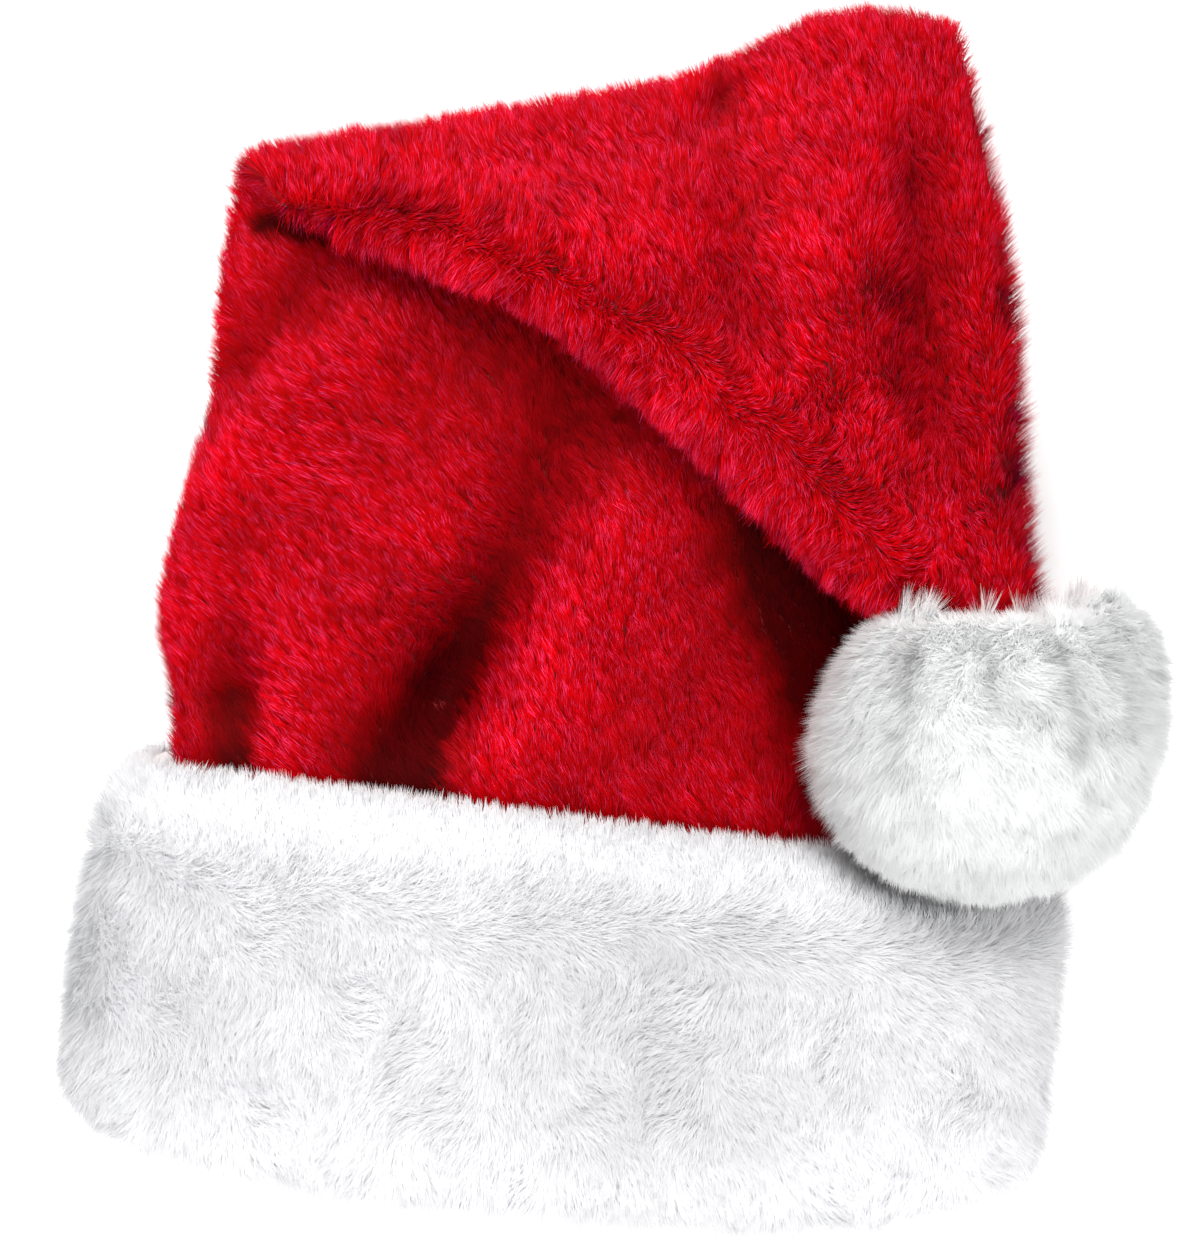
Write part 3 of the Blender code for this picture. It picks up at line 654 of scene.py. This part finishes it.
def fur_material(name, fur):
    """Blades darker at the root and lighter at the tip as painted shade and sheen, some with painted pink
    glints at the tips, toned by their lock and patch, with painted shade in hollows and painted light on
    ridges by their depth.
    """
    material, nodes, links, shader = new_material(name)
    blade = nodes.new("ShaderNodeVertexColor")
    blade.layer_name = "blade"
    parts = nodes.new("ShaderNodeSeparateColor")
    links.new(blade.outputs["Color"], parts.inputs["Color"])
    along, lock, fleck = parts.outputs["Red"], parts.outputs["Green"], parts.outputs["Blue"]
    depth = blade.outputs["Alpha"]

    def mixed(share, one, two):
        node = nodes.new("ShaderNodeMix")
        node.data_type = "RGBA"
        links.new(share, node.inputs["Factor"])
        for socket, value in zip((node.inputs["A"], node.inputs["B"]), (one, two)):
            if isinstance(value, tuple):
                socket.default_value = (*value, 1)
            else:
                links.new(value, socket)
        return node.outputs["Result"]

    def ranged(value, low, high, out_low, out_high):
        node = nodes.new("ShaderNodeMapRange")
        for socket, number in zip(node.inputs[1:5], (low, high, out_low, out_high)):
            socket.default_value = number
        links.new(value, node.inputs["Value"])
        return node.outputs["Result"]

    def combined(operation, one, two):
        node = nodes.new("ShaderNodeMath")
        node.operation = operation
        links.new(one, node.inputs[0])
        links.new(two, node.inputs[1])
        return node.outputs[0]

    # Painted shade and sheen: each blade is darker at its root, deep in the pile, and lighter at its tip
    body = mixed(ranged(along, 0.0, TIP_COLOUR_FROM, 0.0, 1.0), fur.root, fur.tip)
    # Painted glints: some blades have pale tips, fewer where the painted shade is deep
    glint_blade = ranged(fleck, fur.fleck_from, 1.0, 0.0, 1.0)
    glint_share = combined("MULTIPLY", glint_blade, ranged(along, GLINT_ALONG_FROM, 1.0, 0.0, 1.0))
    glint_share = combined("MULTIPLY", glint_share, ranged(depth, 0.0, NO_GLINT_DEPTH, 1.0, 0.0))
    body = mixed(glint_share, body, fur.fleck)
    coords = nodes.new("ShaderNodeTexCoord")
    patches = nodes.new("ShaderNodeTexNoise")
    patches.inputs["Scale"].default_value = PATCH_SCALE
    patches.inputs["Detail"].default_value = PATCH_DETAIL
    links.new(coords.outputs["Object"], patches.inputs["Vector"])
    patchy = combined("ADD", lock, patches.outputs["Fac"])
    tone = ranged(patchy, TONE_LOW, TONE_HIGH, 1 - fur.spread, 1 + fur.spread)
    # Painted shade: blades darken towards the painted hollow shade share as their depth grows
    tone = combined("MULTIPLY", tone, ranged(depth, 0.0, 1.0, 1.0, fur.hollow))
    # Painted light: blades of negative depth, on the ridges, are lightened
    tone = combined("MULTIPLY", tone, ranged(depth, PAINTED_LIGHT_DEPTH, 0.0, PAINTED_LIGHT_TONE, 1.0))
    product = nodes.new("ShaderNodeVectorMath")
    product.operation = "SCALE"
    links.new(body, product.inputs[0])
    links.new(tone, product.inputs["Scale"])
    links.new(product.outputs["Vector"], shader.inputs["Base Color"])
    shader.inputs["Roughness"].default_value = fur.roughness
    shader.inputs["Specular IOR Level"].default_value = fur.specular
    shader.inputs["Sheen Weight"].default_value = fur.sheen
    shader.inputs["Sheen Roughness"].default_value = SHEEN_ROUGHNESS
    shader.inputs["Sheen Tint"].default_value = (*fur.tint, 1)
    through = nodes.new("ShaderNodeBsdfTranslucent")
    links.new(product.outputs["Vector"], through.inputs["Color"])
    mix = nodes.new("ShaderNodeMixShader")
    mix.inputs["Fac"].default_value = fur.glow
    links.new(shader.outputs["BSDF"], mix.inputs[1])
    links.new(through.outputs["BSDF"], mix.inputs[2])
    links.new(mix.outputs["Shader"], nodes["Material Output"].inputs["Surface"])
    return material


# The mottle and the nap of the skins' cloth
MOTTLE_DETAIL = 6
MOTTLE_DARK_UP_TO = 0.3
MOTTLE_LIGHT_FROM = 0.7
NAP_FINENESS = 8
NAP_DETAIL = 3
NAP_HEIGHT = 0.001


def cloth_material(name, dark, light, scale, bump, roughness):
    """Cloth with mottled colour and a fine nap."""
    material, nodes, links, shader = new_material(name)
    coords = nodes.new("ShaderNodeTexCoord")
    noise = nodes.new("ShaderNodeTexNoise")
    noise.inputs["Scale"].default_value = scale
    noise.inputs["Detail"].default_value = MOTTLE_DETAIL
    links.new(coords.outputs["Object"], noise.inputs["Vector"])
    ramp = nodes.new("ShaderNodeValToRGB")
    ramp.color_ramp.elements[0].position = MOTTLE_DARK_UP_TO
    ramp.color_ramp.elements[0].color = (*dark, 1)
    ramp.color_ramp.elements[1].position = MOTTLE_LIGHT_FROM
    ramp.color_ramp.elements[1].color = (*light, 1)
    links.new(noise.outputs["Fac"], ramp.inputs["Fac"])
    links.new(ramp.outputs["Color"], shader.inputs["Base Color"])
    nap = nodes.new("ShaderNodeTexNoise")
    nap.inputs["Scale"].default_value = scale * NAP_FINENESS
    nap.inputs["Detail"].default_value = NAP_DETAIL
    links.new(coords.outputs["Object"], nap.inputs["Vector"])
    relief = nodes.new("ShaderNodeBump")
    relief.inputs["Strength"].default_value = bump
    relief.inputs["Distance"].default_value = NAP_HEIGHT
    links.new(nap.outputs["Fac"], relief.inputs["Height"])
    links.new(relief.outputs["Normal"], shader.inputs["Normal"])
    shader.inputs["Roughness"].default_value = roughness
    return material


RED_SKIN = cloth_material(
    "red_plush_skin", dark=(0.10, 0.0, 0.002), light=(0.22, 0.0, 0.004), scale=260, bump=0.6, roughness=0.9
)
RED_BACKING = cloth_material(
    "red_backing", dark=(0.22, 0.003, 0.006), light=(0.32, 0.005, 0.01), scale=500, bump=0.4, roughness=0.85
)
WHITE_SKIN = cloth_material(
    "white_fur_skin", dark=(0.74, 0.735, 0.73), light=(0.88, 0.88, 0.875), scale=220, bump=0.5, roughness=0.9
)
RED_FUR = fur_material(
    "red_plush_fibres",
    Fur(
        root=(0.29, 0.0, 0.001),
        tip=(0.56, 0.0, 0.003),
        fleck=(1.0, 0.09, 0.35),
        fleck_from=0.76,
        hollow=0.14,
        spread=0.28,
        roughness=0.6,
        specular=0.03,
        sheen=0.16,
        tint=(1.0, 0.03, 0.30),
        glow=0.0,
    ),
)
WHITE_FUR = fur_material(
    "white_fur_fibres",
    Fur(
        root=(0.84, 0.84, 0.85),
        tip=(0.92, 0.92, 0.93),
        fleck=(0.97, 0.97, 0.97),
        fleck_from=0.8,
        hollow=0.72,
        spread=0.03,
        roughness=0.7,
        specular=0.2,
        sheen=0.0,
        tint=(1.0, 1.0, 1.0),
        glow=0.45,
    ),
)
# A lighter copy of the white fur for the pompom: painted light, making up for the light its sides lack
POMPOM_LIGHTENED_WHITE = fur_material(
    "white_pompom_fibres_lightened",
    Fur(
        root=(0.955, 0.96, 0.96),
        tip=(0.98, 0.985, 0.985),
        fleck=(0.99, 0.99, 0.99),
        fleck_from=0.8,
        hollow=0.6,
        spread=0.03,
        roughness=0.7,
        specular=0.2,
        sheen=0.0,
        tint=(1.0, 1.0, 1.0),
        glow=0.5,
    ),
)


# The crown
CROWN_SINK = 0.0024
CROWN_FUR = Coat(
    length=0.0066, width=0.00029, lean=1.1, lock=0.0026, lock_pull=0.4, stray=0.4, soften=0.6
)
TUFT_FUR = Coat(
    length=0.0085, width=0.00034, lean=0.85, lock=0.0055, lock_pull=0.6, stray=0.6, soften=0.6
)
CROWN_BLADES = 450000
TUFT_BLADES = 24000
CROWN_PARTS = 3
PART_SLANT = 0.4
# Fold depth, as a share of the loft, at which the blades' painted shade is full
FULL_SHADE = 0.34

# Which way the plush leans, in degrees: up to the left, turning over to down at the flap's edge
PILE_HEADING = 118
PILE_TURN = 190
TUFT_HEADING = -105
EDGE_FULL = 1.5
EDGE_RAGS = Layer(0.9, 0.016, 12)

# How far its direction wanders, in radians, and over what size, in metres
WANDER_SIZE = 0.04
WANDER = 0.35
EDGE_WANDER = 0.4
CURL_SIZE = 0.0045
FLAP_CURL = 0.9
BODY_CURL = 0.25
TUFT_WANDER = Layer(0.8, 0.012, 52)

# How upright the pile stands on the flap, and how long it hangs at the flap's edge
FLAP_UPRIGHT = 0.4
EDGE_FLATTER = 0.15
TURN_UPRIGHT = 0.5
HANG_FACING = 0.3
HANG_SPREAD = 0.5
HANG_LONGER = 0.5

# Where the plush begins inside the cuff and ends inside the pompom
PLUSH_BELOW_CUFF_TOP = 0.004
PLUSH_START_FADE = 0.003
PLUSH_PAST_GATHERS = 0.004
PLUSH_END_FADE = 0.002

CROWN_COVER = [Cover(-0.9, 0.05), Cover(-0.3, 0.4), Cover(0.2, 0.8), Cover(0.6, 1.0)]
CROWN_MOTTLE = [Layer(0.14, 0.0035, 71), Layer(0.10, 0.009, 72)]


def crown_grid(stations, inset, around):
    return np.stack([tube_ring(s, -inset, -inset, -inset, around=around) for s in stations]) + SHIFT


def near_edge(plan, spread):
    """How near these points are to the flap's slanting edge, from 0 to 1."""
    return fold_depth([Fold(1 / LOFT, spread, FLAP_EDGE)], *plan)


def crown_flow(points, plan, flap):
    """Where the plush leans, seen from above, and how far it is turned down by the flap's edge."""
    near = near_edge(plan, EDGE_SPREAD)
    down = np.where(flap, np.clip(near * (EDGE_FULL + layered_noise(points, [EDGE_RAGS])), 0, 1), 0)
    wander = (WANDER + EDGE_WANDER * down) * soft_noise(points, WANDER_SIZE, 3)
    heading = np.radians(PILE_HEADING - PILE_TURN * down) + wander
    heading = heading + np.where(flap, FLAP_CURL, BODY_CURL) * soft_noise(points, CURL_SIZE, 13)
    return flat_heading(heading), down


def crown_weights(stations, grid):
    """How thickly the plush is drawn: fully on top, thinly below, and not at all where it is hidden."""
    past_start = stations - CUFF_TOP + PLUSH_BELOW_CUFF_TOP
    before_end = KNOTS[-2] + PLUSH_PAST_GATHERS - stations
    shown = np.clip(past_start / PLUSH_START_FADE, 0, 1) * np.clip(before_end / PLUSH_END_FADE, 0, 1)
    return drawn_thickness(grid_normals(grid), CROWN_COVER) * shown[:, None]


def build_crown(rng):
    stations = even_stations(HEM_TUCK, KNOTS[-1], SKIN_ROW)
    outer = crown_grid(stations, CROWN_SINK, SKIN_AROUND)
    inner_stations = even_stations(HEM_TUCK, KNOTS[-1] - WALL, INNER_STEP * SKIN_ROW)
    inner = crown_grid(inner_stations, WALL, SKIN_AROUND)
    rim = np.stack([outer[0], inner[0]])
    mesh = grid_mesh("crown_skin", [(outer, 0), (inner[:, ::-1], 1), (rim[:, ::-1], 1)])
    skin = make_object("crown_skin", mesh, RED_SKIN)
    mesh.materials.append(RED_BACKING)
    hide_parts(*CROWN_NODES)
    weights = crown_weights(stations, outer)
    roots, up, row = scatter(outer, weights, CROWN_BLADES, rng)
    station = np.interp(row, np.arange(len(stations)), stations)
    flap = station > FOLD_TOP
    plan = (roots - SHIFT)[:, :2].T
    flow, down = crown_flow(roots, plan, flap)
    # Painted shade in the folds' hollows and under the flap, and painted light on the ridges, given to the
    # blades as their depth; the mottle on it is random tone
    body_shade_and_light_depth = fold_depth(BODY_FOLDS, *plan) + fold_depth(BODY_PAINTED_SHADE_AND_LIGHT, *plan)
    depth = np.where(flap, fold_depth(FLAP_FOLDS, *plan), body_shade_and_light_depth) / (FULL_SHADE * LOFT)
    depth = np.clip(depth + layered_noise(roots, CROWN_MOTTLE), -1, 1) * (up[:, 2] > 0)
    leans = 1 - (FLAP_UPRIGHT - EDGE_FLATTER * down) * flap - TURN_UPRIGHT * down * (1 - down)
    edge = down * np.clip(1 - np.abs(up[:, 2] - HANG_FACING) / HANG_SPREAD, 0, 1)
    lengths = 1 + HANG_LONGER * edge
    order = np.argsort(roots[:, 1] + PART_SLANT * roots[:, 0])
    for part, chosen in enumerate(np.array_split(order, CROWN_PARTS)):
        fur = grow(
            f"crown_fur_{part + 1}",
            roots[chosen],
            up[chosen],
            flow[chosen],
            CROWN_FUR,
            RED_FUR,
            rng,
            lengths=lengths[chosen],
            leans=leans[chosen],
            depth=depth[chosen],
        )
    build_tufts(outer, weights, stations, rng)


def build_tufts(outer, weights, stations, rng):
    """The longer locks that hang over the flap's slanting edge."""
    plan = np.moveaxis(outer - SHIFT, -1, 0)[:2]
    on_flap = (stations > FOLD_TOP)[:, None]
    roots, up, _ = scatter(outer, weights * on_flap * near_edge(plan, TUFT_SPREAD), TUFT_BLADES, rng)
    heading = np.radians(TUFT_HEADING) + layered_noise(roots, [TUFT_WANDER])
    tufts = grow("crown_tufts", roots, up, flat_heading(heading), TUFT_FUR, RED_FUR, rng)


# The cuff
CUFF_FUR = Coat(
    length=0.0066, width=0.00036, lean=0.95, lock=0.0026, lock_pull=0.5, stray=0.8, soften=0.9
)
CUFF_BLADES = 185000
CUFF_ROWS = 52
CUFF_SINK = 0.0036
PILE_WEIGHT = 0.16
CUFF_COVER = [Cover(-0.95, 0.0), Cover(-0.6, 0.35), Cover(0.0, 0.8), Cover(0.4, 1.0)]
CUFF_MOTTLE = [Layer(0.15, 0.003, 73)]
CUFF_CURLS = [Layer(1.5, 0.022, 8), Layer(0.9, 0.009, 9)]

# Where the fur turns up over the roll and where the roll's top edge is, as shares of the cuff's length
ROLL_START = 0.68
ROLL_TURN = 0.22
ROLL_CALM = 0.7
ROLL_UPRIGHT = 0.4
TOP_START = 0.86
TOP_FADE = 0.1
TOP_SHORTER = 0.35
TOP_UPRIGHT = 0.25


def smooth_profile(rows, count):
    """The doubled fur's section, refined and rounded: along and pile shares."""
    along = np.array([row.along for row in rows])
    pile = np.array([row.pile for row in rows])
    knots = np.concatenate([[0], np.cumsum(np.hypot(np.diff(along), PILE_WEIGHT * np.diff(pile)))])
    at = np.linspace(0, knots[-1], count)
    return np.interp(at, knots, along), np.interp(at, knots, pile)


def cuff_grid(rows, count, sink, around):
    rings = []
    for along, pile in zip(*smooth_profile(rows, count)):
        out = GAP + pile * CUFF_PILE - sink
        below = GAP + pile * CUFF_PILE_BELOW
        crushed = POMPOM_ROOM + max(0, 1 - pile) * CUFF_PILE_CRUSHED + sink
        rings.append(tube_ring(along * CUFF_TOP, out, out, below, crushed, around))
    return np.stack(rings) + SHIFT


def cuff_flow(points, share):
    """Up over the red at the top, and in curls lower down, mostly towards the hem. Also how upright."""
    rise = np.clip((share - ROLL_START) / ROLL_TURN, 0, 1)
    heading = np.radians(180 * rise - 90) + (1 - ROLL_CALM * rise) * layered_noise(points, CUFF_CURLS)
    return flat_heading(heading), 2 * rise * (1 - rise)


def build_cuff(rng):
    outer = cuff_grid(CUFF_OUTSIDE, CUFF_ROWS, CUFF_SINK, SKIN_AROUND)
    inner = cuff_grid(CUFF_INSIDE, CUFF_ROWS // INNER_STEP, 0, SKIN_AROUND)
    whole = np.concatenate([outer, inner, outer[:1]])
    skin = make_object("cuff_skin", grid_mesh("cuff_skin", [(whole, 0)]), WHITE_SKIN)
    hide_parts("fur_cuff")
    weights = drawn_thickness(grid_normals(outer), CUFF_COVER)
    rows, _ = smooth_profile(CUFF_OUTSIDE, len(outer))
    roots, up, row = scatter(outer, weights, CUFF_BLADES, rng)
    share = np.interp(row, np.arange(len(outer)), rows)
    flow, upright = cuff_flow(roots, share)
    edge = np.clip((share - TOP_START) / TOP_FADE, 0, 1)
    # Painted shade and light on the cuff's blades from these lines, with random mottle
    depth = fold_depth(CUFF_PAINTED_SHADE_AND_LIGHT, *(roots - SHIFT)[:, :2].T) / LOFT + layered_noise(roots, CUFF_MOTTLE)
    depth = np.clip(depth, -1, 1) * (up[:, 2] > 0)
    fur = grow(
        "cuff_fur",
        roots,
        up,
        flow,
        CUFF_FUR,
        WHITE_FUR,
        rng,
        lengths=1 - TOP_SHORTER * edge,
        leans=1 - TOP_UPRIGHT * edge - ROLL_UPRIGHT * upright,
        depth=depth,
    )


# The pompom
POMPOM_FUR = Coat(
    length=0.0088, width=0.00037, lean=0.8, lock=0.0034, lock_pull=0.55, stray=0.9, soften=0.88
)
POMPOM_BLADES = 180000
POMPOM_AROUND = 110
POMPOM_ROWS = 56
POMPOM_SINK = 0.0040
RADIUS_WEIGHT = 0.6
THINNEST_RING = 0.0005
FROM_RIM = (0.0, -1.0, 0.0)
SWIRL = 0.9
SWIRL_SIZE = 0.010
POMPOM_MOTTLE = [Layer(0.32, 0.0028, 74), Layer(0.22, 0.009, 75)]
CREASE_SHADE = 0.038

# The locks at the rim that stand up against the crown's tip, and how much shorter the rest is there
RIM_DEPTH = 0.004
RIM_LOCK_SIZE = 0.005
RIM_LOCK_FROM = 0.45
RIM_LOCK_FLOW = (0.0, 1.0, 0.3)
RIM_SHORTER = 0.6
END_SHORTER = 0.35


def pompom_grid(rows, count, sink):
    """The pompom from the rim of its dimple to its far end."""
    table = np.array(rows + [FAR_END], float)
    steps = np.hypot(np.diff(table[:, 0]), RADIUS_WEIGHT * np.diff(table[:, 1]))
    knots = np.concatenate([[0], np.cumsum(steps)])
    at = np.linspace(0, knots[-1], count)
    turns = angles(POMPOM_AROUND)
    from_lobe = np.angle(np.exp(1j * (turns - LOBE_ANGLE)))
    bulge = np.exp(-((from_lobe / LOBE_SPREAD) ** 2))
    rings = []
    for along, radius, lobe, pleat in np.stack([np.interp(at, knots, v) for v in table.T], axis=1):
        pleats = 1 - pleat * PLEAT_DEPTH * (0.5 - 0.5 * np.cos(PLEATS * turns))
        out = POMPOM_WIDTH / 2 * (radius * pleats + LOBE_OUT * lobe * bulge)
        out = np.maximum(out - sink, THINNEST_RING)
        y = RIM_Y - along * POMPOM_LENGTH + LOBE_BACK * POMPOM_LENGTH * lobe * bulge
        flatness = POMPOM_HEIGHT / POMPOM_WIDTH
        x = POMPOM_X + out * np.cos(turns)
        rings.append(np.column_stack([x, y, POMPOM_Z + flatness * out * np.sin(turns)]))
    return np.stack(rings) + SHIFT


def build_pompom(rng):
    outer = pompom_grid(POMPOM_OUTLINE, POMPOM_ROWS, POMPOM_SINK)
    core = make_object("pompom_core", grid_mesh("pompom_core", [(outer, 0)]), WHITE_SKIN)
    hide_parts("pompom")
    weights = np.ones(outer.shape[:2])
    roots, up, _ = scatter(outer, weights, POMPOM_BLADES, rng)
    swirl = np.stack([soft_noise(roots, SWIRL_SIZE, 40 + i) for i in range(3)], axis=1)
    away = np.array(FROM_RIM) + SWIRL * swirl
    near_rim = roots[:, 1] - SHIFT[1] > RIM_Y - RIM_DEPTH
    loose = near_rim & (soft_noise(roots, RIM_LOCK_SIZE, 61) > RIM_LOCK_FROM)
    flow = np.where(loose[:, None], RIM_LOCK_FLOW, away)
    near_end = np.clip(-up[:, 1], 0, 1)
    lengths = 1 - RIM_SHORTER * np.clip(up[:, 1], 0, 1) * ~loose - END_SHORTER * near_end
    # Painted shade in the gathers' creases, with random mottle, darkens the pompom's blades
    painted_crease_shade = fold_depth(POMPOM_PAINTED_CREASE_SHADE, *(roots - SHIFT)[:, :2].T) / (CREASE_SHADE * LOFT)
    depth = np.clip(painted_crease_shade + layered_noise(roots, POMPOM_MOTTLE), 0, 1) * (up[:, 2] > 0)
    fur = grow("pompom_fur", roots, up, flow, POMPOM_FUR, POMPOM_LIGHTENED_WHITE, rng, lengths=lengths, depth=depth)


# The studio
Lamp = namedtuple("Lamp", "name place target size power")
LAMPS = [
    Lamp("key", (-0.25, 0.8, 1.05), (0, 0.02, 0), (0.8, 0.5), 15),
    Lamp("fill", (0.2, -0.9, 1.1), (0, -0.02, 0), (1.4, 1.0), 12),
]
WORLD_STRENGTH = 0.92
FLOOR_HALF = 4
FLOOR_DARK = 0.93
FLOOR_LIGHT = 0.96
FLOOR_GRAIN = 900
FLOOR_ROUGHNESS = 0.9
CLIP_START = 0.01


def area_light(lamp):
    data = bpy.data.lights.new(lamp.name, "AREA")
    data.shape = "RECTANGLE"
    data.size, data.size_y = lamp.size
    data.energy = lamp.power
    light = bpy.data.objects.new(lamp.name, data)
    light.location = lamp.place
    light.rotation_euler = (Vector(lamp.target) - Vector(lamp.place)).to_track_quat("-Z", "Y").to_euler()
    bpy.context.scene.collection.objects.link(light)


def build_floor():
    mesh = bpy.data.meshes.new("floor")
    half = FLOOR_HALF
    corners = [(-half, -half, 0), (half, -half, 0), (half, half, 0), (-half, half, 0)]
    mesh.from_pydata(corners, [], [(0, 1, 2, 3)])
    floor = bpy.data.objects.new("floor", mesh)
    material, nodes, links, shader = new_material("floor_paper")
    grain = nodes.new("ShaderNodeTexNoise")
    grain.inputs["Scale"].default_value = FLOOR_GRAIN
    ramp = nodes.new("ShaderNodeValToRGB")
    for element, grey in zip(ramp.color_ramp.elements, (FLOOR_DARK, FLOOR_LIGHT)):
        element.color = (grey, grey, grey, 1)
    links.new(grain.outputs["Fac"], ramp.inputs["Fac"])
    links.new(ramp.outputs["Color"], shader.inputs["Base Color"])
    shader.inputs["Roughness"].default_value = FLOOR_ROUGHNESS
    mesh.materials.append(material)
    bpy.context.scene.collection.objects.link(floor)


def build_studio():
    scene = bpy.context.scene
    world = bpy.data.worlds.new("studio")
    scene.world = world
    world.use_nodes = True
    background = world.node_tree.nodes["Background"]
    background.inputs["Color"].default_value = (1, 1, 1, 1)
    background.inputs["Strength"].default_value = WORLD_STRENGTH
    for lamp in LAMPS:
        area_light(lamp)
    build_floor()

    data = bpy.data.cameras.new("camera")
    data.sensor_width = SENSOR
    data.sensor_fit = "HORIZONTAL"
    data.lens = LENS_SHARE * SENSOR
    data.clip_start = CLIP_START
    camera = bpy.data.objects.new("camera", data)
    place = Vector((SHIFT[0], CAMERA_Y + SHIFT[1], CAMERA_HEIGHT))
    camera.matrix_world = Matrix.Translation(place)
    scene.collection.objects.link(camera)
    scene.camera = camera
    scene.view_settings.view_transform = "Standard"


build_studio()
build_crown(np.random.default_rng(11))
build_cuff(np.random.default_rng(12))
build_pompom(np.random.default_rng(13))
